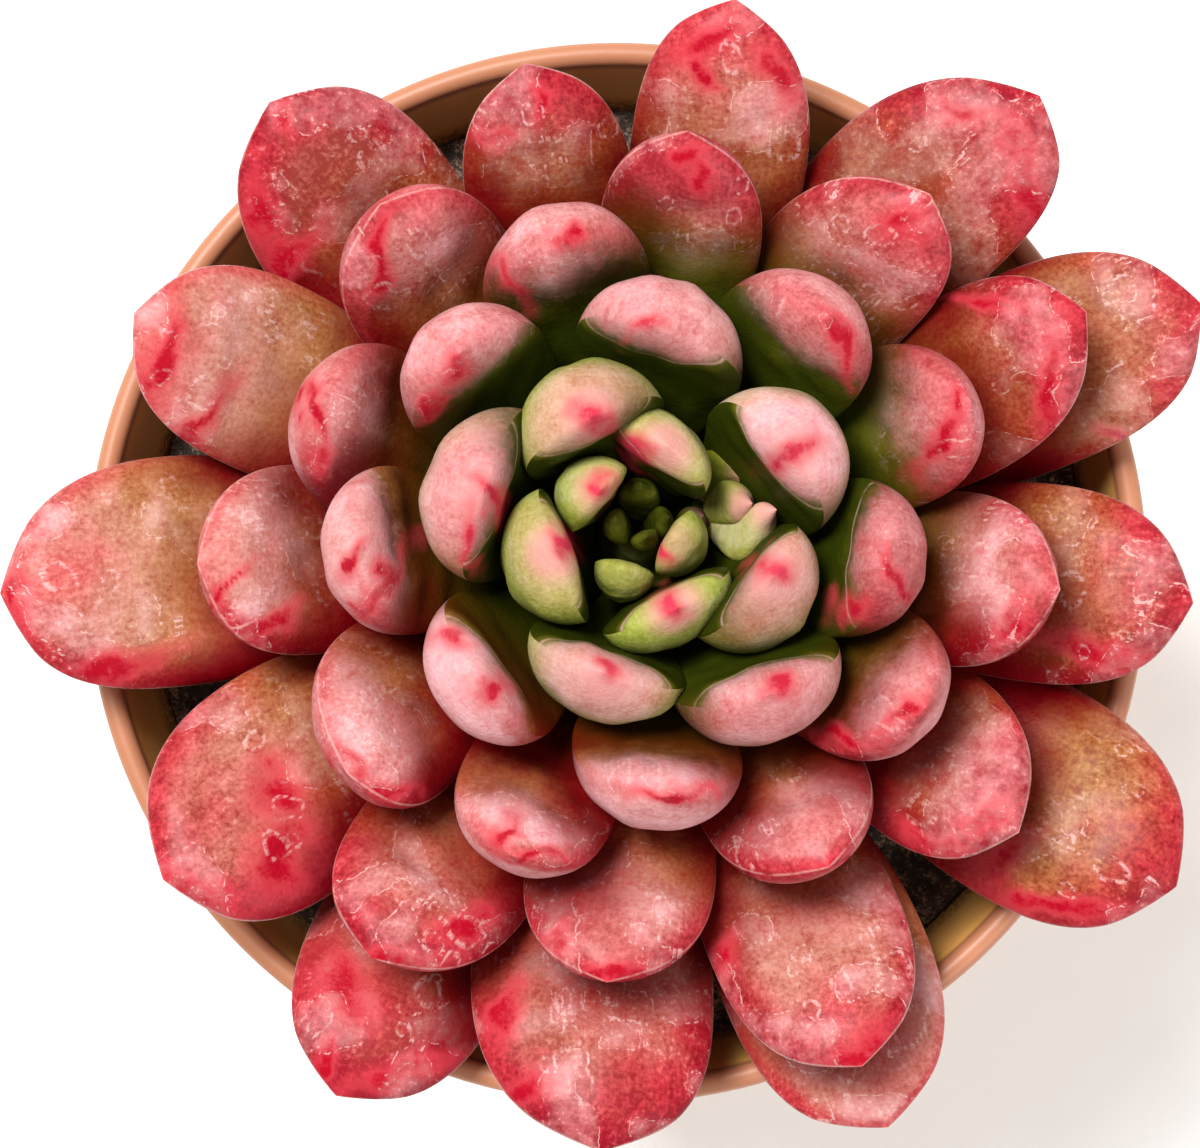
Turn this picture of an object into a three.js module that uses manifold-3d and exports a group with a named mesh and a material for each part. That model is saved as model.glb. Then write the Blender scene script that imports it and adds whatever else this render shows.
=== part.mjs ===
// Potted pink ruby sedeveria: a rosette of thick leaves on a short stem, in a round plastic pot of soil.
// Millimetres, +Z up, origin at the middle of the pot's underside.
import * as THREE from "three";
import { mergeVertices } from "three/addons/utils/BufferGeometryUtils.js";
import Module from "manifold-3d";

const wasm = await Module();
wasm.setup();

const gap = 0.3;

// Pot: a flat lip on a collar, a wall that tapers down, and a flat underside with drain holes.
const rimRadius = 45;
const potHeight = 78;
const lipWidth = 2;
const lipRound = 0.6;
const collarDepth = 13;
const collarStep = 1.3;
const wall = 2;
const baseRadius = 32;
const floorThickness = 2.4;
const baseRound = 1.2;
const drainRadius = 3;
const drainRing = 19;
const drainCount = 6;
const drainSides = 10;
const potSides = 40;

// Soil: it fills the pot to below the rim, and its surface is a little uneven.
const soilHeight = 66;
const soilRadius = 41.5;
const soilBump = 0.7;
const soilRings = [33, 25, 17, 10];
const soilSides = 30;

// Plant: the stem leans a little, and the leaves stand on it in one spiral.
const stemX = 1.4;
const stemY = 0.9;
const leanX = 0.03;
const leanY = 0.07;
const firstAzimuth = 86.9;
const leafTurn = 138.2;
const stemProfile = [[3, -16], [3.6, -2], [4.6, 4], [4.7, 7], [3.4, 14], [2.1, 18.2], [1.5, 20]];
const stemSides = 16;

// Rules of the spiral, as [place in the spiral, value]: places run from 1, the youngest, to 51.
const rootRadius = [[0, 2.6], [12, 4], [51, 5.6]];
const rootHeight = [[0, 19.5], [51, 6.5]];
const tipHeight = [[0, 27], [3, 32], [8, 35], [14, 35.5], [22, 32.5], [30, 28.5], [38, 24], [45, 21.5], [51, 19.5]];
const rootBend = [[0, 4], [6, 18], [14, 22], [22, 22], [30, 16], [40, 10], [51, 7]];
const tipBend = [[0, 8], [6, 20], [8, 26], [13, 36], [18, 35], [22, 29], [26, 23], [32, 15], [40, 10], [51, 6]];
const thickShare = [[4, 0.5], [8, 0.54], [20, 0.56], [30, 0.5], [40, 0.44]];
const faceShare = [[0, 0.2], [8, 0.06], [14, 0.08], [20, 0.14], [30, 0.24], [42, 0.3]];
const tipDrop = [[0, 0.2], [8, 0.24], [18, 0.24], [30, 0.16], [42, 0.08]];
const keel = [[6, 0], [20, 0.05], [32, 0.12], [44, 0.14]];
const endRound = [[24, 0.53], [36, 0.45], [51, 0.42]];

// One row per leaf: place in the spiral, turn away from it in degrees, reach of the tip from the
// stem's axis, greatest width, sideways bow, extra depth of the outer face, lift of the tip, and the
// extra upward curl and the roll of its end in degrees, all measured by eye.
const leafRows = [
  [1, 30, 3.4, 5, -0.3, 0.5], [2, -32, 2.8, 5.8, 0.7, 0.2], [3, -3, 4.2, 6.6, 0.3, 1],
  [4, 13, 7.3, 11.2, -0.3, -0.9, 0, 0, 5], [5, 14, 6.4, 10.2, 1, -0.5, 0, 0, -18], [6, 3, 7.2, 11.2, 0],
  [7, 4, 11.2, 11.6, -0.7, 0.6, 0, 0, -17], [8, 2, 9, 12.2, 0.2, 0.6, 0, 0, 2],
  [9, 6, 12.3, 13.2, 0, -1, 0, 0, -6], [10, -5, 13, 12.8, 0.2, 0.9, 0, 0, 15],
  [11, 4, 12.6, 14.4, -0.9, -0.5, 0, 8, -10], [12, 3, 17, 14, 0.4, -0.4, 0, 0, -20],
  [13, 5, 15.3, 13.6, -1.2, 0.2, 0, 4, -15], [14, 5, 17.8, 13.3, -0.7, -0.4, 0, 4, -10],
  [15, -7, 19.5, 12.8, -0.2, 0.6], [16, -1, 19.4, 12.8, 0.1, 0.5, 0, 12, -8],
  [17, 0, 21.6, 13.6, -0.5, -0.3, 0, 0, -10], [18, -7, 21.4, 13.4, 1.2, 0.3, 0, 12],
  [19, -7, 22.7, 13.8, -0.6, -0.3, 0, 10, 4], [20, -4, 26.5, 13.2, 0, 0.2],
  [21, -4, 22.9, 13.8, 0.5, 0.8, 0, 24], [22, 2, 27.9, 13.2, -0.2, -0.2, 0, 6],
  [23, -5, 27.6, 13.3, 0.9, 0.2, 0, 6], [24, -5, 27.2, 14.4, 0.2, 0.5, 0, 18],
  [25, -3, 30.6, 14, 0.1, 0.1], [26, 3, 31.4, 13.3, -0.5, 0, 0, 6], [27, 2, 30.2, 15, -2.3, -0.2, 0, 10],
  [28, -5, 33.4, 14.3, 0.4, 0.1], [29, -6, 33, 14.9, 0.1, 0.4, 0, 18], [30, -7, 35.9, 15.6, 0.6, 0, 0, 6],
  [31, -2, 35.2, 14.6, 1.7, 0.3, 0, 8], [32, -5, 35.3, 15.7, -0.5, 0.1, 0, 14],
  [33, -6, 38.4, 15, 1.2, 0.2], [34, -2, 38.6, 14.1, 0.1, 0, 0, 6], [35, -6, 40.1, 16.2, 0.7, 0.2, 1, 8],
  [36, 4, 39.6, 14.8, -0.6, 0, 1.5], [37, -4, 44.4, 16.1, -0.4, 0.2, 0, 12],
  [38, -6, 45.9, 16.2, 0.4, 0, 4, 4], [39, 3, 44, 14.8, -1, 0, 0, 4], [40, 1, 47.3, 19.3, -1.1, 0.2, 0, 8],
  [41, 0, 44.9, 16.5, 0.8], [42, -1, 46.3, 17.9, 0.1, 0.1, 0, 12], [43, -3, 49.5, 20.1, -1.6, 0.2, 1.5, 4],
  [44, 0, 48.4, 17.4, 2.3, 0, 0, 4], [45, -1, 52.1, 19.3, -1.3, 0, 0, 4], [46, 3, 51.8, 18.8, 0.5],
  [48, 1, 51.5, 17.5, -0.2, 0.2, -1, 6], [49, 4, 49.6, 16.9, 0.8, 0, 0.3],
  [51, -2, 51.8, 17.8, 0.7, 0, 0.4],
];

// The heart's tiny leaves and the side bud's: azimuth, reach, height, width, thickness and bow from an
// axis of their own, which stands away from the stem's by the offset.
const heartOffset = [0, 0.8];
const heartRoot = [0.3, 20.6];
const heartRows = [
  [88, 3, 26.6, 3.4, 2.6, 0],
  [190, 1.9, 28.2, 2.9, 2.1, 0],
  [292, 1.5, 27.4, 2.4, 1.8, 0],
  [10, 2.4, 25.6, 2.6, 1.8, 0],
];
const crownRadius = 1.8;
const crownHeight = 21.9;
const budOffset = [4.3, 1.5];
const budRoot = [0.4, 21];
const budRows = [
  [0, 6.4, 28.6, 3.8, 3.2, -1.9],
  [7, 4.6, 27.6, 3.6, 2.8, 0.7],
  [16, 7, 25.6, 3.6, 2.4, 1.2],
  [36, 6.2, 25.8, 3.3, 2.4, 2.1],
];
const stalkRow = [16, 5.4, 24, 2.6, 2.2, 0];
const stalkRoot = [2.7, 17.4];

// Leaf outline and section, as shares of its length, width and thickness.
const widestAt = 0.72;
const rootWidthShare = 0.18;
const rootThickShare = 0.26;
const thickestAt = 0.6;
const endStart = 0.55;
const marginStart = 0.6;
const mucroStart = 0.975;
const mucroLength = 0.6;
const handleShare = 0.38;
const facetAllowance = 1.035;
const leafStations = 8;
const leafSides = 10;
const smallStations = 6;
const smallSides = 8;

function valueAt(keys, place) {
  const last = keys.length - 1;
  for (let i = 0; i < last; i += 1) {
    const [from, low] = keys[i];
    const [to, high] = keys[i + 1];
    if (place <= to) {
      return THREE.MathUtils.mapLinear(Math.max(place, from), from, to, low, high);
    }
  }
  return keys[last][1];
}

function share(value, from, to) {
  return THREE.MathUtils.clamp((value - from) / (to - from), 0, 1);
}

// A closed geometry as a solid, and a solid as a geometry.
function solidOf(geometry) {
  const bare = geometry.clone();
  bare.deleteAttribute("normal");
  bare.deleteAttribute("uv");
  const merged = mergeVertices(bare, 1e-4);
  return new wasm.Manifold(new wasm.Mesh({
    numProp: 3,
    vertProperties: Float32Array.from(merged.attributes.position.array),
    triVerts: Uint32Array.from(merged.index.array),
  }));
}

function geometryOf(solid) {
  const mesh = solid.getMesh();
  const geometry = new THREE.BufferGeometry();
  geometry.setAttribute("position", new THREE.BufferAttribute(mesh.vertProperties, 3));
  geometry.setIndex(new THREE.BufferAttribute(mesh.triVerts, 1));
  geometry.computeVertexNormals();
  return geometry;
}

// A profile of [radius, height] points turned about the vertical.
function turned(profile, sides) {
  const points = profile.map(([radius, height]) => new THREE.Vector2(radius, height));
  return new THREE.LatheGeometry(points, sides).rotateX(Math.PI / 2);
}

function arc(centreX, centreY, radius, fromDegrees, toDegrees, steps) {
  return Array.from({ length: steps + 1 }, (_, i) => {
    const angle = THREE.MathUtils.degToRad(fromDegrees + (toDegrees - fromDegrees) * i / steps);
    return [centreX + radius * Math.cos(angle), centreY + radius * Math.sin(angle)];
  });
}

// The pot's section runs from the middle of its underside, up the outside, over the lip and back down
// the inside to the middle of its floor.
function potSolid() {
  const collarBottom = potHeight - collarDepth;
  const outside = rimRadius - collarStep;
  const profile = [
    [0, 0],
    ...arc(baseRadius - baseRound, baseRound, baseRound, -90, 0, 3),
    [outside - 0.2, collarBottom],
    ...arc(rimRadius - lipRound - 0.4, collarBottom + lipRound, lipRound, -90, 0, 2),
    ...arc(rimRadius - lipRound, potHeight - lipRound, lipRound, 0, 90, 3),
    ...arc(rimRadius - lipWidth + lipRound / 2, potHeight - lipRound / 2, lipRound / 2, 90, 180, 2),
    [soilRadius, soilHeight],
    [baseRadius - wall, floorThickness + baseRound],
    [baseRadius - wall - baseRound, floorThickness],
    [0, floorThickness],
  ];
  let pot = solidOf(turned(profile, potSides));
  for (let i = 0; i < drainCount; i += 1) {
    const angle = 2 * Math.PI * (i + 0.5) / drainCount;
    const drain = new THREE.CylinderGeometry(drainRadius, drainRadius, 3 * floorThickness, drainSides);
    drain.rotateX(Math.PI / 2);
    drain.translate(drainRing * Math.cos(angle), drainRing * Math.sin(angle), floorThickness);
    pot = pot.subtract(solidOf(drain));
  }
  return pot;
}

function stemSolid(grow = 0) {
  const ends = [[0, stemProfile[0][1] - grow], [0, stemProfile.at(-1)[1] + grow]];
  const side = stemProfile.map(([radius, height], i) => [
    radius + grow,
    height + (i === 0 ? -grow : 0) + (i === stemProfile.length - 1 ? grow : 0),
  ]);
  const geometry = turned([ends[0], ...side, ends[1]], stemSides);
  const position = geometry.attributes.position;
  for (let i = 0; i < position.count; i += 1) {
    const height = position.getZ(i);
    const x = position.getX(i) + stemX + leanX * height;
    const y = position.getY(i) + stemY + leanY * height;
    position.setXYZ(i, x, y, height + soilHeight);
  }
  return solidOf(geometry);
}

// Soil: the pot's inside less a gap, with low mounds on top and a plain hole where the stem stands.
function soilSolid() {
  const bottom = floorThickness + gap;
  const profile = [
    [0, bottom],
    [baseRadius - wall - baseRound - gap, bottom],
    [soilRadius - 2 * gap, soilHeight - soilBump],
    ...soilRings.map((radius) => [radius, soilHeight]),
    [0, soilHeight],
  ];
  const geometry = turned(profile, soilSides);
  const position = geometry.attributes.position;
  for (let i = 0; i < position.count; i += 1) {
    if (position.getZ(i) === soilHeight) {
      const x = position.getX(i);
      const y = position.getY(i);
      const mound = Math.sin(0.31 * x + 1.3) * Math.cos(0.27 * y - 0.4) + 0.5 * Math.sin(0.6 * (x - y));
      position.setZ(i, soilHeight + soilBump * mound / 1.5);
    }
  }
  return solidOf(geometry).subtract(stemSolid(gap));
}

// The middle line of a leaf in the upright plane through its axis: x is away from the axis and y is
// the height above the soil. It ends so that the tip, which drops below it, has the stated reach.
function leafSpine(leaf) {
  const drop = valueAt(tipDrop, leaf.place) * leaf.thick;
  const root = new THREE.Vector2(...leaf.root);
  const tip = new THREE.Vector2(leaf.reach, leaf.height);
  const chord = tip.clone().sub(root).angle();
  const tipAngle = chord + THREE.MathUtils.degToRad(valueAt(tipBend, leaf.place) + leaf.curl);
  const rootAngle = chord - THREE.MathUtils.degToRad(valueAt(rootBend, leaf.place));
  const end = new THREE.Vector2(tip.x - drop * Math.sin(tipAngle), tip.y + drop * Math.cos(tipAngle));
  const handle = handleShare * end.distanceTo(root);
  const curve = new THREE.CubicBezierCurve(
    root,
    new THREE.Vector2(root.x + handle * Math.cos(rootAngle), root.y + handle * Math.sin(rootAngle)),
    new THREE.Vector2(end.x - handle * Math.cos(tipAngle), end.y - handle * Math.sin(tipAngle)),
    end,
  );
  return { curve, drop };
}

// A leaf is a sphere's grid drawn out along its spine. Seen across, its inner face is nearly flat and
// its outer face is deep, and the margin between them drops towards the small point at the tip.
function leafGeometry(leaf, grow = 0) {
  const { curve, drop } = leafSpine(leaf);
  const face = valueAt(faceShare, leaf.place) * leaf.thick;
  const azimuth = THREE.MathUtils.degToRad(leaf.azimuth);
  const { stations, sides } = leaf;
  const geometry = new THREE.SphereGeometry(1, sides, stations);
  const position = geometry.attributes.position;
  for (let row = 0; row <= stations; row += 1) {
    const s = 1 - (1 - Math.max(0, (stations - row - 1) / (stations - 1))) ** 1.7;
    const atTip = row === 0;
    const atRoot = row === stations;
    const along = curve.getTangent(s);
    const mucro = leaf.mucro * (share(s, mucroStart, 1) ** 1.3 - 0.8);
    const spine = curve.getPoint(s).addScaledVector(along, mucro + (atTip ? grow : 0) - (atRoot ? grow : 0));
    const end = share(s, endStart, 1);
    const widen = Math.sin(Math.PI / 2 * share(s, 0, widestAt)) ** 1.5;
    const narrow = (1 - share(s, widestAt, 1) ** 2.5) ** valueAt(endRound, leaf.place);
    const wide = leaf.width / 2 * facetAllowance;
    const half = wide * (rootWidthShare + (1 - rootWidthShare) * widen) * narrow + grow;
    const deepen = Math.sin(Math.PI / 2 * share(s, 0, thickestAt)) ** 1.3;
    const deep = rootThickShare + (1 - rootThickShare) * deepen;
    const margin = -drop * share(s, marginStart, 1) ** 1.6;
    const above = (face * deep + drop) * Math.sqrt(1 - end ** 8) - drop - margin + grow;
    const outer = (leaf.thick + leaf.belly) * facetAllowance - face;
    const below = (outer * deep - drop) * (1 - end ** 3) ** 0.6 + drop + margin + grow;
    const lens = 0.5 + valueAt(keel, leaf.place) * share(s, 0.45, 0.8);
    const bow = leaf.bow * Math.sin(Math.PI * s ** 1.4);
    const roll = THREE.MathUtils.degToRad(leaf.roll) * share(s, 0, thickestAt);
    for (let column = 0; column <= sides; column += 1) {
      const angle = 2 * Math.PI * (column % sides) / sides;
      const cosine = Math.cos(angle);
      const across = Math.sign(cosine) * (1 - (1 - Math.abs(cosine)) ** 1.15);
      const upper = Math.sin(angle) > 0;
      const curved = Math.max(0, 1 - Math.abs(across) ** (upper ? 2.2 : 2)) ** lens;
      const flat = atTip || atRoot ? 0 : half * across;
      const deepness = margin + (atTip || atRoot ? 0 : (upper ? above : -below) * curved);
      const side = flat * Math.cos(roll) - deepness * Math.sin(roll) + bow;
      const lift = flat * Math.sin(roll) + deepness * Math.cos(roll);
      const away = spine.x - along.y * lift;
      const height = spine.y + along.x * lift;
      position.setXYZ(
        row * (sides + 1) + column,
        leaf.axis[0] + leanX * height + away * Math.cos(azimuth) - side * Math.sin(azimuth),
        leaf.axis[1] + leanY * height + away * Math.sin(azimuth) + side * Math.cos(azimuth),
        soilHeight + height,
      );
    }
  }
  return geometry;
}

function spiralLeaf([place, turn, reach, width, bow, belly = 0, lift = 0, curl = 0, roll = 0]) {
  return {
    place,
    azimuth: firstAzimuth + leafTurn * place + turn,
    reach,
    width,
    bow,
    belly,
    curl,
    roll,
    height: valueAt(tipHeight, place) + lift,
    thick: width * valueAt(thickShare, place),
    mucro: mucroLength * share(place, -4, 8),
    root: [valueAt(rootRadius, place), valueAt(rootHeight, place)],
    axis: [stemX, stemY],
    stations: leafStations,
    sides: leafSides,
  };
}

function smallLeaf([azimuth, reach, height, width, thick, bow], root, offset = [0, 0]) {
  return {
    place: 0,
    azimuth,
    reach,
    width,
    bow,
    belly: 0,
    curl: 0,
    roll: 0,
    height,
    thick,
    mucro: mucroLength,
    root,
    axis: [stemX + offset[0], stemY + offset[1]],
    stations: smallStations,
    sides: smallSides,
  };
}

function heartSolid(grow = 0) {
  const crown = new THREE.SphereGeometry(crownRadius + grow, 10, 6);
  crown.translate(stemX + leanX * crownHeight, stemY + leanY * crownHeight, soilHeight + crownHeight);
  const leaves = heartRows.map((row) => solidOf(leafGeometry(smallLeaf(row, heartRoot, heartOffset), grow)));
  return leaves.reduce((whole, leaf) => whole.add(leaf), solidOf(crown));
}

function budSolid(grow = 0) {
  const stalk = solidOf(leafGeometry(smallLeaf(stalkRow, stalkRoot), grow));
  const leaves = budRows.map((row) => solidOf(leafGeometry(smallLeaf(row, budRoot, budOffset), grow)));
  return leaves.reduce((whole, leaf) => whole.add(leaf), stalk);
}

const colours = {
  pot: 0xb5714a,
  soil: 0x2b2420,
  stem: 0x6f6a3c,
  green: 0xa9b45f,
  rose: 0xd98a7c,
};

function material(name, roughness) {
  return new THREE.MeshStandardMaterial({ color: colours[name], roughness, metalness: 0 });
}

function piece(name, solid, finish) {
  const mesh = new THREE.Mesh(geometryOf(solid), finish);
  mesh.name = name;
  return mesh;
}

// Youngest first: what grew later presses into what it lies on, so each piece is cut back a little
// from all that come before it.
const greenPlaces = 6;
const budAfter = 3;
const growths = leafRows.map((row, i) => {
  const leaf = spiralLeaf(row);
  return {
    name: `leaf_${String(i + 1).padStart(2, "0")}`,
    make: (grow) => solidOf(leafGeometry(leaf, grow)),
    finish: i < greenPlaces ? "green" : "rose",
  };
});
growths.splice(budAfter, 0, { name: "side_bud", make: budSolid, finish: "green" });
growths.unshift({ name: "heart", make: heartSolid, finish: "green" });

function boxesMeet(a, b) {
  return [0, 1, 2].every((k) => a.min[k] <= b.max[k] && b.min[k] <= a.max[k]);
}

const minimumCut = 0.001;
const cutters = [];
const group = new THREE.Group();
group.add(piece("pot", potSolid(), material("pot", 0.5)));
group.add(piece("soil", soilSolid(), material("soil", 1)));
group.add(piece("stem", stemSolid(), material("stem", 0.7)));
for (const { name, make, finish } of growths) {
  let solid = make(0);
  for (const cutter of cutters) {
    const near = boxesMeet(cutter.boundingBox(), solid.boundingBox());
    if (near && cutter.intersect(solid).volume() > minimumCut) {
      solid = solid.subtract(cutter);
    }
  }
  const whole = solid.decompose().reduce((a, b) => (a.volume() > b.volume() ? a : b));
  group.add(piece(name, whole, material(finish, 0.45)));
  cutters.push(make(gap));
}

export default group;
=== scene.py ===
import math

import bpy
import numpy as np
from mathutils import Matrix, Vector


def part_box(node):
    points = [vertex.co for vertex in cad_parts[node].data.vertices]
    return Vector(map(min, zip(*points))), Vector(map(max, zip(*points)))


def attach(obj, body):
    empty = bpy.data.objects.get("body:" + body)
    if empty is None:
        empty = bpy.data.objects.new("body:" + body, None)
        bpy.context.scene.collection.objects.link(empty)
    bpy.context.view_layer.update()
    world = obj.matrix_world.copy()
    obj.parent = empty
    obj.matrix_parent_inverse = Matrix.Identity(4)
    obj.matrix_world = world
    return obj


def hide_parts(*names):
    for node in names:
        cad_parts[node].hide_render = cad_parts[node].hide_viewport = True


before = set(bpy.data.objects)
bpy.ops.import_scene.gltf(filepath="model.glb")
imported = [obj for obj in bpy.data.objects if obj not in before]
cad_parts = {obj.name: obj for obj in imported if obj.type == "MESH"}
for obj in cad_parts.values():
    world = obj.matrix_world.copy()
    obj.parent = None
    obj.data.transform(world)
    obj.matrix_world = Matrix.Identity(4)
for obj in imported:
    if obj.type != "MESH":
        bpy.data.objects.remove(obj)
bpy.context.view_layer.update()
print("frame loaded:", len(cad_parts), "nodes")

# Lengths in the dictionaries are millimetres, and every mesh is made in metres.
mm = 0.001


# A method of Wire that adds one Math node; swapped is for the reflected form, as in 1 - mask.
def mathMethod(operation, swapped=False):
    def act(wire, other):
        first, second = (other, wire) if swapped else (wire, other)
        return wire.make("Math", {"operation": operation}, {0: first, 1: second})
    return act


# Shader maths: a Wire is one socket of a material's tree. Arithmetic on it adds Math nodes, and make
# adds any other node from its type without ShaderNode, its settings and its sockets' values or wires.
class Wire:
    __add__, __radd__ = mathMethod("ADD"), mathMethod("ADD", True)
    __sub__, __rsub__ = mathMethod("SUBTRACT"), mathMethod("SUBTRACT", True)
    __mul__, __rmul__ = mathMethod("MULTIPLY"), mathMethod("MULTIPLY", True)
    __truediv__, __pow__ = mathMethod("DIVIDE"), mathMethod("POWER")
    atMost, atLeast = mathMethod("MINIMUM"), mathMethod("MAXIMUM")

    def __init__(self, tree, socket=None):
        self.tree = tree
        self.socket = socket

    def make(self, kind, settings=(), sockets=(), output=0):
        node = self.tree.nodes.new("ShaderNode" + kind)
        for key, value in dict(settings).items():
            if key == "stops":
                setStops(node.color_ramp, value)
            else:
                setattr(node, key, value)
        for key, value in dict(sockets).items():
            if isinstance(value, Wire):
                self.tree.links.new(value.socket, node.inputs[key])
            else:
                node.inputs[key].default_value = value
        return Wire(self.tree, node.outputs[output])

    def size(self):
        return self.make("Math", {"operation": "ABSOLUTE"}, {0: self})

    # 0 below low, 1 above high, and a smooth rise between; low may be the greater, for a fall.
    def rise(self, low, high):
        limits = {0: self, 1: low, 2: high}
        return self.make("MapRange", {"interpolation_type": "SMOOTHSTEP"}, limits)


def setStops(ramp, stops):
    while len(ramp.elements) < len(stops):
        ramp.elements.new(1.0)
    for element, (place, colour) in zip(ramp.elements, stops):
        element.position = place
        element.color = (*colour, 1.0)


# A material's tree with its shader and output; what each material needs hangs from it.
class Finish:
    def __init__(self, name, constants):
        self.material = bpy.data.materials.new(name)
        self.material.use_nodes = True
        self.tree = self.material.node_tree
        self.tree.nodes.clear()
        self.root = Wire(self.tree)
        self.shader = self.tree.nodes.new("ShaderNodeBsdfPrincipled")
        output = self.tree.nodes.new("ShaderNodeOutputMaterial")
        self.tree.links.new(self.shader.outputs[0], output.inputs[0])
        for key, value in constants.items():
            self.shader.inputs[key].default_value = value

    def place(self):
        return self.root.make("TexCoord", output="Object")

    def value(self, name):
        return self.root.make("Attribute", {"attribute_name": name}, output="Fac")

    def parts(self, vector):
        split = self.root.make("SeparateXYZ", (), {0: vector})
        node = split.socket.node
        return [Wire(self.tree, node.outputs[i]) for i in range(3)]

    # A noise whose features are about size across, in millimetres or in the unit given.
    def noise(self, vector, size, detail=3.0, roughness=0.55, unit=mm):
        values = {"Scale": 1 / (size * unit), "Detail": detail, "Roughness": roughness}
        return self.root.make("TexNoise", (), {"Vector": vector, **values})

    # A colour mixed from two, each a wire or three numbers; the sockets 6 and 7 are the node's colours.
    def blend(self, share, first, second):
        values = {0: share}
        values[6] = first if isinstance(first, Wire) else (*first, 1.0)
        values[7] = second if isinstance(second, Wire) else (*second, 1.0)
        return self.root.make("Mix", {"data_type": "RGBA"}, values, 2)

    def ramp(self, share, stops):
        return self.root.make("ValToRGB", {"stops": stops}, {0: share})

    def bump(self, height, strength, distance):
        values = {"Height": height, "Strength": strength, "Distance": distance * mm}
        return self.root.make("Bump", (), values)

    def finish(self, colour, roughness, normal=None, coat=None):
        wires = {"Base Color": colour, "Roughness": roughness, "Normal": normal, "Coat Weight": coat}
        for key, wire in wires.items():
            if wire is not None:
                self.tree.links.new(wire.socket, self.shader.inputs[key])
        return self.material


# A straight and a smooth 0 to 1 rise of arrays, and a straight-line lookup in [[place, value], ...].
def straightRise(value, low, high):
    return np.clip((value - low) / (high - low), 0.0, 1.0)


def smoothRise(value, low, high):
    share = straightRise(value, low, high)
    return share * share * (3 - 2 * share)


def lookUp(keys, place):
    places, values = zip(*keys)
    return float(np.interp(place, places, values))


# A soft relief over arrays x and y: a few sine waves of one size that cross at seeded angles.
def waves(x, y, size, count, seed):
    draw = np.random.default_rng(seed)
    angles = draw.uniform(0, 2 * np.pi, count)
    lengths = size * draw.uniform(0.7, 1.4, count)
    starts = draw.uniform(0, 2 * np.pi, count)
    along = x[..., None] * np.cos(angles) + y[..., None] * np.sin(angles)
    return np.sin(2 * np.pi * along / lengths + starts).sum(-1) / math.sqrt(count)


# Soft noise over points in millimetres, about 0 to 1: random values on a cube lattice with smooth
# steps between them, in layers that halve in size and in share.
def cloud(points, size, seed, layers=3, lattice=24):
    total = np.zeros(len(points))
    for layer in range(layers):
        table = np.random.default_rng(seed + layer).random((lattice, lattice, lattice))
        spot = points / size * 2**layer
        cell = np.floor(spot).astype(int)
        share = spot - cell
        share = share * share * (3 - 2 * share)
        for corner in np.ndindex(2, 2, 2):
            value = table[tuple(((cell + corner) % lattice).T)]
            total += value * np.prod(np.where(corner, share, 1 - share), axis=1) / 2**layer
    return total / (2 - 2 ** (1 - layers))


# A closed surface from rings of points: quads between the rings and a fan to a pole at either end.
def ringFaces(rings, sides, first=0):
    ring, side = np.meshgrid(np.arange(rings - 1), np.arange(sides), indexing="ij")
    here = first + ring * sides + side
    beside = first + ring * sides + (side + 1) % sides
    quads = np.stack([here, beside, beside + sides, here + sides], -1).reshape(-1, 4)
    start = first + rings * sides
    side = np.arange(sides)
    beside = (side + 1) % sides
    last = first + (rings - 1) * sides
    rootFan = np.stack([np.full(sides, start), first + beside, first + side], -1)
    tipFan = np.stack([np.full(sides, start + 1), last + side, last + beside], -1)
    return quads, np.concatenate([rootFan, tipFan])


# The faces of count such surfaces that follow each other in one list of points.
def copiedFaces(rings, sides, count):
    quads, triangles = ringFaces(rings, sides)
    starts = (np.arange(count) * (rings * sides + 2))[:, None, None]
    return (quads + starts).reshape(-1, 4), (triangles + starts).reshape(-1, 3)


def meshObject(name, points, quads, triangles, fields=None, skin=None):
    mesh = bpy.data.meshes.new(name)
    corners = np.concatenate([quads.ravel(), triangles.ravel()])
    sizes = np.concatenate([np.full(len(quads), 4), np.full(len(triangles), 3)])
    mesh.vertices.add(len(points))
    mesh.vertices.foreach_set("co", np.ascontiguousarray(points * mm, dtype=np.float32).ravel())
    mesh.loops.add(len(corners))
    mesh.loops.foreach_set("vertex_index", corners.astype(np.int32))
    mesh.polygons.add(len(sizes))
    mesh.polygons.foreach_set("loop_start", (np.cumsum(sizes) - sizes).astype(np.int32))
    mesh.polygons.foreach_set("use_smooth", np.full(len(sizes), True))
    mesh.update(calc_edges=True)
    for key, values in (fields or {}).items():
        attribute = mesh.attributes.new(key, "FLOAT", "POINT")
        attribute.data.foreach_set("value", np.ascontiguousarray(values, dtype=np.float32))
    if skin is not None:
        layer = mesh.uv_layers.new(name="skin")
        layer.data.foreach_set("uv", skin[corners].astype(np.float32).ravel())
    piece = bpy.data.objects.new(name, mesh)
    bpy.context.scene.collection.objects.link(piece)
    return piece


def dress(piece, material, slot, *nodes):
    piece.data.materials.append(material)
    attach(piece, "root")
    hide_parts(*nodes)
    return piece


# The camera hangs above the plant and looks almost straight down.
viewpoint = {
    "eye": (5.27, -7.8, 378.0),
    "aim": (-1.24, -0.28, 78.0),
    "focalPixels": 3550,
    "imageWidth": 1200,
    "imageHeight": 1148,
    "sensorWidth": 36.0,
    "nearest": 10.0,
}


def cameraFrame():
    eye = Vector(viewpoint["eye"])
    ahead = (Vector(viewpoint["aim"]) - eye).normalized()
    right = ahead.cross(Vector((0, 1, 0))).normalized()
    return eye, right, right.cross(ahead), -ahead


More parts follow.
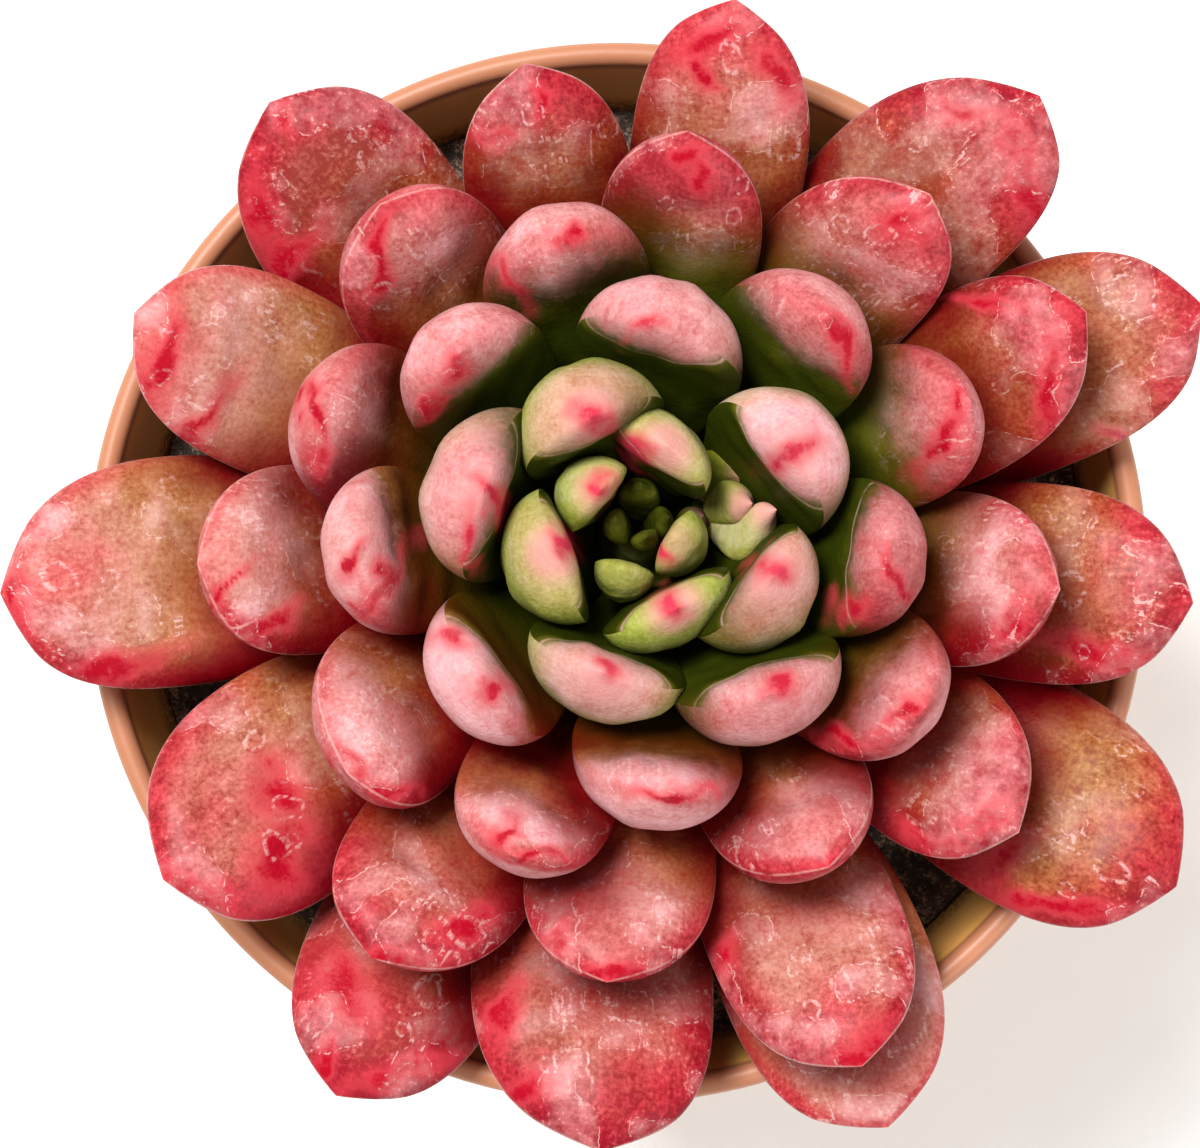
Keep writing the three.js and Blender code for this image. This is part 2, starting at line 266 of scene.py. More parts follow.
def makeCamera():
    eye, right, up, back = cameraFrame()
    camera = bpy.data.objects.new("camera", bpy.data.cameras.new("camera"))
    bpy.context.scene.collection.objects.link(camera)
    camera.data.sensor_width = viewpoint["sensorWidth"]
    camera.data.lens = viewpoint["focalPixels"] / viewpoint["imageWidth"] * viewpoint["sensorWidth"]
    camera.data.clip_start = viewpoint["nearest"] * mm
    turn = Matrix((right, up, back)).transposed()
    camera.matrix_world = Matrix.Translation(eye * mm) @ turn.to_4x4()
    bpy.context.scene.camera = camera


# Where points in millimetres are seen, in pixels of the 1200 by 1148 view.
def seenAt(points):
    eye, right, up, back = (np.array(axis) for axis in cameraFrame())
    away = points - eye
    depth = -(away @ back)
    x = viewpoint["imageWidth"] / 2 + viewpoint["focalPixels"] * (away @ right) / depth
    y = viewpoint["imageHeight"] / 2 - viewpoint["focalPixels"] * (away @ up) / depth
    return x, y


makeCamera()


# The plant: one spiral of leaves on a leaning stem. The rules are [place in the spiral, value], and
# places run from 1, the youngest, to 51. They are the rules of the frame's own leaves, with a longer
# point at the tip.
plant = {
    "soilHeight": 66.0,
    "stem": (1.4, 0.9),
    "lean": (0.03, 0.07),
    "firstAzimuth": 86.9,
    "leafTurn": 138.2,
    "rootRadius": [[0, 2.6], [12, 4], [51, 5.6]],
    "rootHeight": [[0, 19.5], [51, 6.5]],
    "tipHeight": [
        [0, 27], [3, 32], [8, 35], [14, 35.5], [22, 32.5], [30, 28.5], [38, 24], [45, 21.5], [51, 19.5],
    ],
    "rootBend": [[0, 4], [6, 18], [14, 22], [22, 22], [30, 16], [40, 10], [51, 7]],
    "tipBend": [
        [0, 8], [6, 20], [8, 26], [13, 36], [18, 35], [22, 29], [26, 23], [32, 15], [40, 10], [51, 6],
    ],
    "thickShare": [[4, 0.5], [8, 0.54], [20, 0.56], [30, 0.5], [40, 0.44]],
    "faceShare": [[0, 0.2], [8, 0.06], [14, 0.08], [20, 0.14], [30, 0.24], [42, 0.3]],
    "tipDrop": [[0, 0.2], [8, 0.24], [18, 0.24], [30, 0.16], [42, 0.08]],
    "keel": [[6, 0.0], [20, 0.05], [32, 0.12], [44, 0.14]],
    "endRound": [[24, 0.53], [36, 0.45], [51, 0.42]],
    "mucroLength": 1.0,
    "handle": 0.38,
    "rings": 76,
    "sides": 64,
    "relief": 0.12 / 14,
}

# The form that all leaves share: places as shares of the length, and the width and depth at the root as
# shares of the greatest.
blade = {
    "pointFrom": 0.955,
    "pointSetBack": 0.48,
    "widestAt": 0.72,
    "deepestAt": 0.6,
    "closeFrom": 0.55,
    "keelFrom": 0.45,
    "keelTo": 0.8,
    "rootWidth": 0.18,
    "rootDepth": 0.26,
}

# Place in the spiral, turn away from it in degrees, reach of the tip, greatest width, sideways bow,
# extra depth of the outer face, lift of the tip, and the extra upward curl and the roll of its end,
# in degrees.
leafRows = [
    [1, 30, 3.4, 5, -0.3, 0.5], [2, -32, 2.8, 5.8, 0.7, 0.2], [3, -3, 4.2, 6.6, 0.3, 1],
    [4, 13, 7.3, 11.2, -0.3, -0.9, 0, 0, 5], [5, 14, 6.4, 10.2, 1, -0.5, 0, 0, -18], [6, 3, 7.2, 11.2, 0],
    [7, 4, 11.2, 11.6, -0.7, 0.6, 0, 0, -17], [8, 2, 9, 12.2, 0.2, 0.6, 0, 0, 2],
    [9, 6, 12.3, 13.2, 0, -1, 0, 0, -6], [10, -5, 13, 12.8, 0.2, 0.9, 0, 0, 15],
    [11, 4, 12.6, 14.4, -0.9, -0.5, 0, 8, -10], [12, 3, 17, 14, 0.4, -0.4, 0, 0, -20],
    [13, 5, 15.3, 13.6, -1.2, 0.2, 0, 4, -15], [14, 5, 17.8, 13.3, -0.7, -0.4, 0, 4, -10],
    [15, -7, 19.5, 12.8, -0.2, 0.6], [16, -1, 19.4, 12.8, 0.1, 0.5, 0, 12, -8],
    [17, 0, 21.6, 13.6, -0.5, -0.3, 0, 0, -10], [18, -7, 21.4, 13.4, 1.2, 0.3, 0, 12],
    [19, -7, 22.7, 13.8, -0.6, -0.3, 0, 10, 4], [20, -4, 26.5, 13.2, 0, 0.2],
    [21, -4, 22.9, 13.8, 0.5, 0.8, 0, 24], [22, 2, 27.9, 13.2, -0.2, -0.2, 0, 6],
    [23, -5, 27.6, 13.3, 0.9, 0.2, 0, 6], [24, -5, 27.2, 14.4, 0.2, 0.5, 0, 18],
    [25, -3, 30.6, 14, 0.1, 0.1], [26, 3, 31.4, 13.3, -0.5, 0, 0, 6], [27, 2, 30.2, 15, -2.3, -0.2, 0, 10],
    [28, -5, 33.4, 14.3, 0.4, 0.1], [29, -6, 33, 14.9, 0.1, 0.4, 0, 18],
    [30, -7, 35.9, 15.6, 0.6, 0, 0, 6], [31, -2, 35.2, 14.6, 1.7, 0.3, 0, 8],
    [32, -5, 35.3, 15.7, -0.5, 0.1, 0, 14], [33, -6, 38.4, 15, 1.2, 0.2],
    [34, -2, 38.6, 14.1, 0.1, 0, 0, 6], [35, -6, 40.1, 16.2, 0.7, 0.2, 1, 8],
    [36, 4, 39.6, 14.8, -0.6, 0, 1.5], [37, -4, 44.4, 16.1, -0.4, 0.2, 0, 12],
    [38, -6, 45.9, 16.2, 0.4, 0, 4, 4], [39, 3, 44, 14.8, -1, 0, 0, 4],
    [40, 1, 47.3, 19.3, -1.1, 0.2, 0, 8], [41, 0, 44.9, 16.5, 0.8], [42, -1, 46.3, 17.9, 0.1, 0.1, 0, 12],
    [43, -3, 49.5, 20.1, -1.6, 0.2, 1.5, 4], [44, 0, 48.4, 17.4, 2.3, 0, 0, 4],
    [45, -1, 52.1, 19.3, -1.3, 0, 0, 4], [46, 3, 51.8, 18.8, 0.5], [48, 1, 51.5, 17.5, -0.2, 0.2, -1, 6],
    [49, 4, 49.6, 16.9, 0.8, 0, 0.3], [51, -2, 51.8, 17.8, 0.7, 0, 0.4],
]

# Crimson marks on the leaves by place in the spiral: where each is seen, its half length and half
# width in pixels, and its turn in degrees.
redMarks = {
    39: [(712, 40, 34, 12, 150), (778, 82, 26, 14, 240), (700, 70, 16, 10, 120)],
    44: [(1010, 135, 20, 14, 60), (1028, 190, 44, 16, 80), (960, 112, 26, 10, 10)],
    49: [(1110, 440, 16, 6, 30)],
    41: [(1100, 655, 60, 12, 10)],
    46: [(1060, 905, 70, 10, 8), (1005, 860, 30, 14, 150)],
    38: [(860, 1050, 34, 12, 150), (725, 960, 30, 10, 110)],
    43: [(520, 1090, 30, 12, 150), (505, 1015, 24, 12, 110)],
    48: [(345, 985, 40, 26, 60), (400, 1070, 50, 10, 170), (320, 1060, 22, 9, 110)],
    40: [(190, 890, 46, 14, 30), (280, 860, 40, 22, 120), (275, 790, 26, 26, 0)],
    45: [(90, 670, 80, 12, 165), (20, 600, 24, 8, 100)],
    37: [(158, 360, 50, 12, 105), (195, 430, 50, 12, 130)],
    42: [(262, 215, 40, 14, 80), (290, 260, 44, 16, 130), (285, 120, 16, 8, 60)],
    34: [(540, 105, 16, 8, 100), (492, 135, 14, 12, 60)],
    26: [(690, 158, 14, 14, 0), (700, 180, 14, 8, 60)],
    31: [(905, 218, 18, 22, 60)],
    36: [(1055, 380, 62, 12, 100), (990, 305, 34, 7, 20)],
    33: [(985, 818, 22, 11, 160), (940, 845, 40, 10, 20)],
    30: [(615, 975, 54, 9, 175), (560, 940, 22, 9, 130)],
    35: [(400, 960, 50, 9, 5), (470, 930, 30, 12, 150)],
    32: [(228, 590, 34, 6, 130), (262, 625, 30, 8, 150)],
    24: [(316, 412, 30, 9, 75), (315, 460, 20, 10, 90)],
    29: [(378, 260, 46, 8, 100), (385, 285, 12, 12, 0)],
    21: [(566, 240, 10, 9, 0), (510, 280, 22, 8, 60)],
    18: [(836, 345, 34, 9, 70)],
    23: [(940, 440, 34, 10, 120), (962, 400, 16, 8, 100)],
    28: [(1015, 625, 26, 10, 120)],
    15: [(893, 575, 30, 7, 60), (850, 610, 16, 12, 0)],
    20: [(905, 715, 26, 9, 150), (850, 740, 40, 8, 10)],
    25: [(860, 860, 40, 8, 170)],
    17: [(670, 795, 34, 8, 5)],
    22: [(545, 858, 44, 7, 5), (500, 830, 20, 8, 140)],
    27: [(345, 765, 20, 8, 35), (395, 790, 24, 7, 10)],
    19: [(378, 590, 48, 9, 130), (352, 560, 18, 8, 110)],
    16: [(452, 365, 12, 16, 110), (435, 400, 18, 8, 120)],
    14: [(455, 640, 18, 10, 30), (486, 690, 16, 10, 20)],
    11: [(492, 500, 26, 8, 55), (474, 535, 22, 7, 85)],
    13: [(648, 329, 20, 8, 170)],
    10: [(795, 450, 14, 24, 60)],
    12: [(778, 688, 15, 11, 30)],
    9: [(608, 670, 14, 10, 60)],
    6: [(566, 545, 13, 11, 100)],
    8: [(590, 414, 18, 10, 20)],
    7: [(776, 574, 15, 14, 0)],
    5: [(633, 449, 12, 15, 110)],
    4: [(674, 603, 14, 11, 30)],
    3: [(602, 490, 14, 12, 0)],
    2: [(664, 548, 10, 8, 20)],
}


# The middle line of a leaf in the upright plane through its axis: a cubic curve from the root, which
# leaves it below the straight chord, to the tip, which it reaches above it.
def leafSpine(leaf, s):
    drop = lookUp(plant["tipDrop"], leaf["place"]) * leaf["thick"]
    root = np.array(leaf["root"], float)
    tip = np.array([leaf["reach"], leaf["height"]], float)
    chord = math.atan2(*(tip - root)[::-1])
    tipAngle = chord + math.radians(lookUp(plant["tipBend"], leaf["place"]) + leaf["curl"])
    rootAngle = chord - math.radians(lookUp(plant["rootBend"], leaf["place"]))
    end = tip + drop * np.array([-math.sin(tipAngle), math.cos(tipAngle)])
    handle = plant["handle"] * np.linalg.norm(end - root)
    second = root + handle * np.array([math.cos(rootAngle), math.sin(rootAngle)])
    third = end - handle * np.array([math.cos(tipAngle), math.sin(tipAngle)])
    a, b, c, d = ((1 - s) ** 3, 3 * s * (1 - s) ** 2, 3 * s**2 * (1 - s), s**3)
    line = a[:, None] * root + b[:, None] * second + c[:, None] * third + d[:, None] * end
    a, b, c = ((1 - s) ** 2, 2 * s * (1 - s), s**2)
    along = a[:, None] * (second - root) + b[:, None] * (third - second) + c[:, None] * (end - third)
    length = np.linalg.norm(end - root)
    return line, along / np.linalg.norm(along, axis=1)[:, None], drop, length


# A leaf over s, along its spine, and an angle round it. The half width rises as a power of a sine, falls
# as 1 - share ** 2.5 to the power endRound, and closes as a quarter circle on the short point at the
# tip. The inner face is shallow and the outer one deep, domed as 1 - |across| ** 2.2 and ** 2 to the
# power lens, and the margin between them drops towards the tip. Low waves lie on both. The grid keeps
# the share along, the distance from the margin, the place on the skin and the distance from the tip.
def leafSurface(leaf):
    rings, sides = leaf["rings"], leaf["sides"]
    step = np.append(np.arange(rings) / rings, [0.0, 1.0])
    s = 1 - (1 - step) ** 1.7
    line, along, drop, length = leafSpine(leaf, s)
    face = lookUp(plant["faceShare"], leaf["place"]) * leaf["thick"]
    point = straightRise(s, blade["pointFrom"], 1)
    mucro = leaf["mucro"] * (point**1.5 - blade["pointSetBack"])
    taper = np.sqrt(1 - point**2)
    line = line + along * mucro[:, None]
    end = straightRise(s, blade["closeFrom"], 1)
    widen = np.sin(np.pi / 2 * straightRise(s, 0, blade["widestAt"])) ** 1.5
    narrow = (1 - straightRise(s, blade["widestAt"], 1) ** 2.5) ** lookUp(plant["endRound"], leaf["place"])
    broad = blade["rootWidth"] + (1 - blade["rootWidth"]) * widen
    half = leaf["width"] / 2 * broad * narrow * taper
    deepen = np.sin(np.pi / 2 * straightRise(s, 0, blade["deepestAt"])) ** 1.3
    deep = blade["rootDepth"] + (1 - blade["rootDepth"]) * deepen
    margin = -drop * straightRise(s, blade["deepestAt"], 1) ** 1.6
    above = taper * ((face * deep + drop) * np.sqrt(1 - end**8) - drop - margin)
    belly = (leaf["thick"] + leaf["belly"] - face) * deep - drop
    below = taper * (belly * (1 - end**3) ** 0.6 + drop + margin)
    keel = lookUp(plant["keel"], leaf["place"]) * straightRise(s, blade["keelFrom"], blade["keelTo"])
    lens = 0.5 + keel
    bow = leaf["bow"] * np.sin(np.pi * s**1.4)

    angle = 2 * np.pi * np.arange(sides) / sides
    cosine = np.cos(angle)
    across = np.sign(cosine) * (1 - (1 - np.abs(cosine)) ** 1.15)
    upper = np.sin(angle) > 0
    dome = np.clip(1 - np.abs(across) ** np.where(upper, 2.2, 2.0), 0, 1) ** lens[:, None]
    side = half[:, None] * across
    lift = margin[:, None] + np.where(upper, above[:, None], -below[:, None]) * dome
    seed = leaf["place"] * 7 + 1
    bumps = waves(side, s[:, None] * length + 0 * side, 0.3 * leaf["width"], 7, seed)
    fade = (straightRise(s, 0, 0.2) * straightRise(s, 1.0, 0.85))[:, None] * dome
    relief = plant["relief"] * leaf["width"]
    lift = lift + relief * bumps * fade * np.where(upper, 1, -1)
    lift[-2:] = margin[-2:, None]
    side[-2:] = 0.0
    roll = math.radians(leaf["roll"]) * straightRise(s, 0, blade["deepestAt"])[:, None]
    side, lift = side * np.cos(roll) - lift * np.sin(roll), side * np.sin(roll) + lift * np.cos(roll)
    side = side + bow[:, None]

    azimuth = math.radians(leaf["azimuth"])
    away = line[:, 0:1] - along[:, 1:2] * lift
    height = line[:, 1:2] + along[:, 0:1] * lift
    x = leaf["axis"][0] + plant["lean"][0] * height + away * math.cos(azimuth) - side * math.sin(azimuth)
    y = leaf["axis"][1] + plant["lean"][1] * height + away * math.sin(azimuth) + side * math.cos(azimuth)
    points = np.stack([x, y, plant["soilHeight"] + height], -1)
    depth = np.where(upper, above[:, None], below[:, None]) * dome
    rimward = np.where(upper, 1, -1) * np.hypot(half[:, None] * (1 - np.abs(across)), depth)
    toTip = (1 - s[:, None]) * length + np.abs(lift - margin[:, None]) * 0.6
    grid = {
        "along": s[:, None] + 0 * side,
        "rimward": rimward,
        "skinX": half[:, None] * across,
        "skinY": s[:, None] * length + 0 * side,
        "tipward": np.hypot(side - bow[-1], toTip),
    }
    # The last two rows are the poles: one point each.
    pick = np.concatenate([np.arange(rings * sides), [rings * sides, (rings + 1) * sides]])
    flat = {key: value.reshape(-1)[pick] for key, value in grid.items()}
    return points.reshape(-1, 3)[pick], flat


def spiralLeaf(place, turn, reach, width, bow, belly=0.0, lift=0.0, curl=0.0, roll=0.0):
    own = {"reach": reach, "width": width, "bow": bow, "belly": belly, "roll": roll, "curl": curl}
    return {
        **own,
        "place": place,
        "azimuth": plant["firstAzimuth"] + plant["leafTurn"] * place + turn,
        "height": lookUp(plant["tipHeight"], place) + lift,
        "thick": width * lookUp(plant["thickShare"], place),
        "mucro": plant["mucroLength"] * min(1.0, (place + 4) / 12),
        "root": (lookUp(plant["rootRadius"], place), lookUp(plant["rootHeight"], place)),
        "axis": plant["stem"],
        "rings": plant["rings"],
        "sides": plant["sides"],
    }


# How the skin changes through the spiral: how green it is, how strong the pink flush at the tip is,
# where along the inner face the pink gives way to the darker root, its own colour deepened with painted
# shade, and how softly, and how milky, red, mottled and powdery it is.
tints = {
    "lime": [[4, 1.0], [5, 0.85], [6, 0.75], [7, 0.2], [8, 0.35], [9, 0.15], [10, 0.0]],
    "limeFar": [[4, 0.3], [9, 0.8], [11, 0.35], [13, 0.1], [16, 0.0]],
    "flush": [[0, 0.0], [1, 0.1], [2, 0.5], [4, 1.0], [9, 1.0], [13, 0.0]],
    "innerEdge": [
        [3, 0.3], [4, 0.9], [13, 0.89], [16, 0.84], [20, 0.78], [26, 0.71], [36, 0.68], [51, 0.7],
    ],
    "innerSoft": [[4, 0.02], [12, 0.025], [16, 0.06], [22, 0.1], [30, 0.12], [51, 0.14]],
    "milky": [[7, 0.45], [9, 0.55], [13, 0.7], [15, 0.55], [20, 0.5], [28, 0.38], [36, 0.05]],
    "ruddy": [[6, 0.0], [9, 0.5], [14, 0.7], [20, 0.9], [30, 1.0]],
    "rough": [[0, 0.6], [6, 0.75], [10, 0.85], [20, 1.0], [34, 1.0]],
    "powder": [[4, 0.05], [10, 0.25], [16, 0.6], [24, 1.0]],
}
# The same edge on the outer face. The pale line follows the crease up to creasePlaces and the margin
# from linePlaces on, and the leaves between have none.
outerEdge = 0.42
outerSoft = 0.14
creasePlaces = 15
linePlaces = 25
noLine = 9.0

# Leaves that are redder or less red than redShare, and leaves whose golden root runs further up the
# leaf, or less far where it is below 0.
redShare = 0.35
redder = {
    9: 0.1, 10: 0.0, 12: 0.3, 14: -0.1, 15: 0.55, 16: 0.4, 17: -0.05, 18: 0.45, 19: -0.1, 20: 0.25,
    21: 0.3, 22: -0.05, 23: 0.45, 24: 0.15, 25: 0.3, 26: 0.85, 27: 0.2, 28: 0.45, 29: 0.5, 30: 0.3, 31: 0.6,
    32: 0.05, 33: 0.68, 34: 0.85, 35: 0.6, 36: 0.8, 37: 0.1, 38: 0.4, 39: 0.55, 40: 0.5, 41: 0.68,
    42: 0.85, 43: 0.58, 44: 0.88, 45: 0.25, 46: 0.62, 48: 0.8, 49: 0.55, 51: -0.05,
}
ochreReach = {
    45: 0.04, 49: 0.1, 46: 0.15, 41: 0.1, 36: 0.08, 34: 0.1, 44: 0.02, 40: -0.06, 38: -0.12, 43: -0.08,
    33: 0.06,
}

# The sizes of the skin's patterns: clouds kept at the mesh's points, and the material's finer noises.
pattern = {
    "cloud": 6.0,
    "veil": 4.2,
    "markEdge": 2.6,
    "blotch": 2.0,
    "mottle": 1.3,
    "grain": 0.38,
    "fibre": (0.45, 3.0, 1.0),
}


# A mark fades from its middle as a bell over its half length and half width; noise moves its edge by
# up to half of ragged pixels.
def markField(points, marks, ragged=44):
    x, y = seenAt(points)
    x = x + ragged * (cloud(points, pattern["markEdge"], 31) - 0.5)
    y = y + ragged * (cloud(points, pattern["markEdge"], 41) - 0.5)
    field = np.zeros(len(points))
    for markX, markY, long, short, turn in marks:
        cosine, sine = math.cos(math.radians(turn)), math.sin(math.radians(turn))
        ahead = (x - markX) * cosine + (y - markY) * sine
        beside = (y - markY) * cosine - (x - markX) * sine
        field = np.maximum(field, np.exp(-0.7 * ((ahead / long) ** 2 + (beside / short) ** 2)))
    return field


# The deep parts, dark with their own colour and painted shade, are green near the middle, further out
# towards the top right, and wine red elsewhere.
def oliveField(points):
    x = points[:, 0] - plant["stem"][0]
    y = points[:, 1] - plant["stem"][1]
    outwards = np.hypot(x, y)
    side = (0.5 * x + 0.85 * y) / np.maximum(outwards, 1)
    return 1 - smoothRise(outwards - 7 * side, 15, 27)


# Dried droplets on the inner face: the distance to the nearest, in radii of its own wobbly oval.
def dropletField(leaf, grid):
    draw = np.random.default_rng(leaf["place"] + 40)
    count = int(leaf["width"] * 0.6)
    x = draw.uniform(-0.4, 0.4, count) * leaf["width"]
    y = draw.uniform(0.5, 0.95, count) * grid["skinY"].max()
    size = draw.uniform(0.5, 1.3, count)
    phase = draw.uniform(0, 2 * np.pi, count)
    beside = grid["skinX"][:, None] - x
    ahead = grid["skinY"][:, None] - y
    turn = np.arctan2(ahead, beside)
    wobble = 1 + 0.16 * np.sin(2 * turn + phase) + 0.08 * np.sin(3 * turn + 2 * phase)
    nearest = np.min(np.hypot(beside, ahead) / (size * wobble), axis=1)
    return np.where(grid["rimward"] > 0, nearest, 9.0)


# Painted shade: near 1 where a point touches a younger leaf, and falling off over a few millimetres.
def contactShadeField(points, younger, reach=3.8):
    if not len(younger):
        return np.zeros(len(points))
    a, b = points.astype(np.float32), younger.astype(np.float32)
    square = (a * a).sum(1)[:, None] + (b * b).sum(1) - 2 * a @ b.T
    return np.exp(-np.maximum(square.min(1), 0) / reach**2)


# The fields that the skin reads: edge is millimetres from the pale line; rootward is 0 where the pink
# gives way and 1 a soft width further down; the lower-side field is 1 on the lower side of the leaf as it
# is seen, away from the light, and paints shade there; ruddy and band redden the rim, and more of it on
# that side as painted shade.
def leafFields(leaf, points, grid, younger=()):
    place = leaf["place"]
    here = {key: lookUp(keys, place) for key, keys in tints.items()}
    inner = grid["rimward"] > 0
    coarse = cloud(points, pattern["cloud"], 1)
    mottle = cloud(points, pattern["blotch"], 5, 4)
    edge = np.where(inner, here["innerEdge"] + ochreReach.get(place, 0.0), outerEdge)
    soft = np.where(inner, here["innerSoft"], outerSoft)
    uneven = grid["along"] + ((coarse - 0.5) * 1.2 + (mottle - 0.5) * 0.8) * soft
    crease = (grid["along"] - edge) * grid["skinY"].max() + noLine * (1 - inner)
    margin = grid["rimward"] + noLine * (place < linePlaces)
    deeper = redder.get(place, redShare) - redShare
    fromRim = np.abs(grid["rimward"]) + (coarse - 0.5) * 1.6 + (mottle - 0.5) * 1.2
    # Painted shade: the lower side as seen, away from the light, gets a darker tone and a wider, stronger
    # red rim and band over the leaf's own red rim.
    sunken = (points[:, 1].mean() - points[:, 1]) / np.ptp(points[:, 1]) * 2
    shadedLowSide = smoothRise(sunken + (mottle - 0.5) * 0.3, 0.1, 0.9)
    reach = leaf["width"] * (1 + deeper) * (0.24 + 0.12 * shadedLowSide)
    reddening = (1 - smoothRise(fromRim, 0.5, reach)) * (0.8 + 0.4 * shadedLowSide)
    reddening = np.maximum(reddening, 0.8 * smoothRise(grid["along"] + (coarse - 0.5) * 0.3, 0.82, 1.0))
    band = (1 - smoothRise(fromRim, 0.3, 0.5 * reach)) * (0.3 + 0.7 * shadedLowSide)
    tone = 0.5 + (coarse - 0.5) * 0.3 + (mottle - 0.5) * 0.5
    veil = cloud(points, pattern["veil"], 21, 2)
    clear = smoothRise(grid["along"], 0.42, 0.72) * here["powder"]
    unreddened = (1 - 1.3 * deeper) * (1 - 0.8 * reddening * here["ruddy"]).clip(0, 1)
    bloomed = here["milky"] * (1.3 + (mottle - 0.5) * 0.6) + 0.55 * smoothRise(veil, 0.5, 0.7) * clear
    return {
        "edge": crease if place <= creasePlaces else margin,
        "rootward": (edge - uneven) / soft,
        "tone": tone - 0.42 * deeper - 0.2 * reddening * shadedLowSide,
        "ruddy": np.clip((reddening + 0.9 * deeper + (mottle - 0.5) * 0.7) * here["ruddy"], 0, 1),
        "rough": np.full(len(points), here["rough"]),
        "milky": unreddened * np.clip(bloomed, 0, 1),
        "contact": contactShadeField(points, younger),
        "blush": markField(points, redMarks.get(place, [])),
        "olive": oliveField(points),
        "sunken": smoothRise(sunken, -0.3, 0.5),
        "band": band * smoothRise(place, 12, 24),
        "lime": np.clip(here["lime"] + here["limeFar"] * smoothRise(grid["tipward"], 3.5, 8.5), 0, 1),
        "flush": here["flush"] * (1 - smoothRise(grid["tipward"], 0.8, 3.6)),
        "powder": clear,
        "veil": veil,
        "drops": dropletField(leaf, grid),
    }


# Leaf skin: tan, red, milky rose or lime, each a ramp over one mottled tone. Towards the root it goes
# through golden brown or olive to wine or moss, its own colour deepened with painted shade of the
# recesses, and painted shade darkens it and turns it deep red next to younger leaves. Over it lie crimson
# marks with a red halo, dust, flakes, the outlines of dust patches, droplet rings and a line.
leafLook = {
    "tan": [(0.15, (0.23, 0.040, 0.020)), (0.5, (0.36, 0.133, 0.090)), (0.85, (0.45, 0.215, 0.17))],
    "red": [(0.15, (0.20, 0.001, 0.008)), (0.5, (0.37, 0.018, 0.027)), (0.85, (0.50, 0.075, 0.080))],
    "milk": [(0.1, (0.50, 0.13, 0.135)), (0.5, (0.59, 0.27, 0.285)), (0.9, (0.66, 0.38, 0.395))],
    "lime": [(0.1, (0.16, 0.19, 0.012)), (0.5, (0.29, 0.31, 0.06)), (0.9, (0.41, 0.40, 0.18))],
    "golden": [(0.15, (0.18, 0.042, 0.006)), (0.5, (0.30, 0.125, 0.033)), (0.85, (0.41, 0.20, 0.080))],
    # Painted shadow colour: deep red next to younger leaves.
    "shadowRed": (0.24, 0.002, 0.010),
    "oliveGreen": (0.085, 0.08, 0.006),
    "flush": (0.56, 0.23, 0.22),
    "halo": (0.46, 0.035, 0.05),
    "crimson": (0.30, 0.0, 0.010),
    "youngCrimson": (0.46, 0.03, 0.06),
    # Wine and moss: the dark roots and recesses, their own colour deepened with painted shade.
    "shadedWine": (0.11, 0.0, 0.002),
    "shadedMoss": (0.022, 0.028, 0.001),
    "bloom": (0.64, 0.43, 0.41),
    "line": (0.58, 0.33, 0.29),
    "bumpHeight": 0.25,
}


